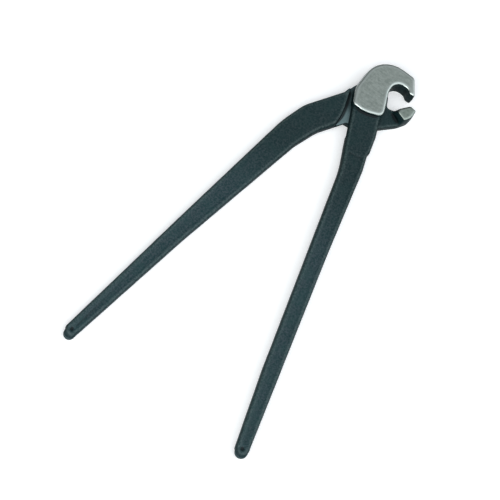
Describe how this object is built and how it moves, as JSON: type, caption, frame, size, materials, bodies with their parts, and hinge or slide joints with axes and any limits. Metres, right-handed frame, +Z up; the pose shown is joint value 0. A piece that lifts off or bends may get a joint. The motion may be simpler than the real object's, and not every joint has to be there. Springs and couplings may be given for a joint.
{
  "type": "fencing pliers",
  "caption": "Steel fencing pliers: a hooked front lever and a lower-jaw lever cross in a lap joint on a flush rivet, with long grooved handles.",
  "frame": {"origin": "on the rivet's axis, at the back face that the tool rests on", "axes": "+Z up through the head to the ground front face, +Y towards the jaws, handles towards -Y, +X to the side the jaws open on"},
  "size_m": [0.1386, 0.2972, 0.012],
  "materials": {
    "front_forging": "black lacquer over forged steel, head ground bright on its front face",
    "rear_forging": "black lacquer over forged steel, jaw tip ground bright",
    "rivet_steel": "ground flush with the head"
  },
  "bodies": {
    "hook_lever": {"hook_jaw_lever": "front_forging", "pivot_rivet": "rivet_steel"},
    "anvil_lever": {"anvil_jaw_lever": "rear_forging"}
  },
  "joints": [
    {"name": "pivot", "type": "hinge", "parent": "hook_lever", "child": "anvil_lever", "pos_m": [0, 0, 0.006], "axis": [0, 0, 1], "range_deg": [-22, 15]}
  ]
}
